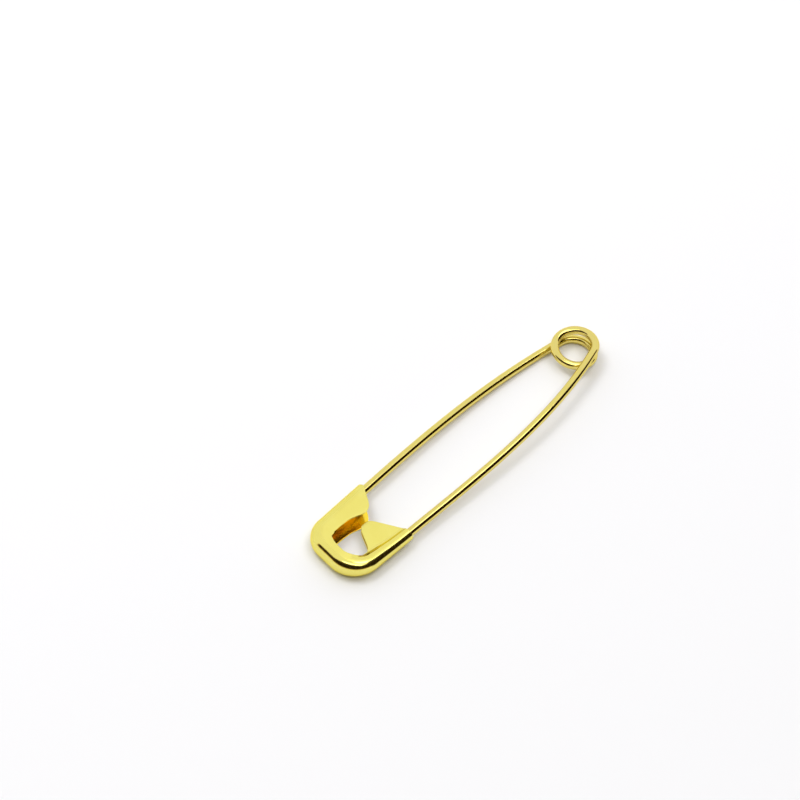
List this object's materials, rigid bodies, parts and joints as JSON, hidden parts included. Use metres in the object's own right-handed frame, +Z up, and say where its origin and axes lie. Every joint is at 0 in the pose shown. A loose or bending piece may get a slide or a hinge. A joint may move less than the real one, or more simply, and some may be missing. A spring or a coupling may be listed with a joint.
{
  "type": "safety pin",
  "caption": "Closed safety pin of coiled spring wire, with a pointed arm held in a stamped sheet clasp that has a guard tab.",
  "frame": {"origin": "under the middle of the closed pin's bounding box, on the surface that the pin lies on", "axes": "+X from the spring coil to the clasp, +Y from the pointed arm to the fixed arm, +Z up, square to the plane of the pin"},
  "size_m": [0.0542, 0.0112, 0.0036],
  "materials": {
    "cap_gold": "bright yellow plating",
    "fixed_arm_gold": "bright yellow plating",
    "coil_gold": "bright yellow plating",
    "pin_arm_gold": "bright yellow plating"
  },
  "bodies": {
    "clasp": {"clasp_cap": "cap_gold", "fixed_arm": "fixed_arm_gold"},
    "coil": {"spring_coil": "coil_gold"},
    "arm": {"pin_arm": "pin_arm_gold"}
  },
  "joints": [
    {"name": "arm_open", "type": "hinge", "parent": "clasp", "child": "coil", "pos_m": [-0.0237, -0.00022, 0.0018], "axis": [0, 0, -1], "range_deg": [0, 40], "deforming": ["spring_coil"]},
    {"name": "arm_squeeze", "type": "hinge", "parent": "coil", "child": "arm", "pos_m": [-0.0237, -0.00022, 0.0018], "axis": [0, 0, -1], "range_deg": [-3.7, 0], "stiffness_Nm_per_rad": 0.15}
  ]
}
